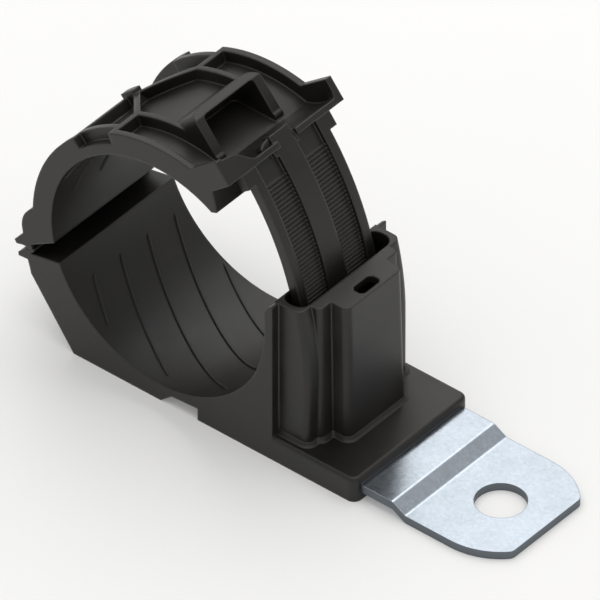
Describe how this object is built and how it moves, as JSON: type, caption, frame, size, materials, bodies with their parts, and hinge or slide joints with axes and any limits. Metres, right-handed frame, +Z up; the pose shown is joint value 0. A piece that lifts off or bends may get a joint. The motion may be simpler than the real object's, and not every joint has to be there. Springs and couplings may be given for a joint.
{
  "type": "ratchet p clamp",
  "caption": "Hinged ratchet P clamp for a cable or hose bundle, moulded on a joggled steel plate with a bolt hole.",
  "frame": {"origin": "centre of the bolt hole on the underside of the steel plate", "axes": "+Z up from the mounting surface, +X from the saddle towards the free end of the plate, Y across the clamp along the bundle"},
  "size_m": [0.0971, 0.028, 0.0543],
  "materials": {
    "black_nylon": "satin moulded nylon",
    "zinc_plated_steel": "bright zinc plate"
  },
  "bodies": {
    "base": {"base_moulding": "black_nylon", "mounting_plate": "zinc_plated_steel"},
    "jaw": {"jaw_moulding": "black_nylon"}
  },
  "joints": [
    {"name": "jaw_hinge", "type": "hinge", "parent": "base", "child": "jaw", "pos_m": [-0.0848, 0, 0.0171], "axis": [0, -1, 0], "range_deg": [-20, 29]}
  ]
}
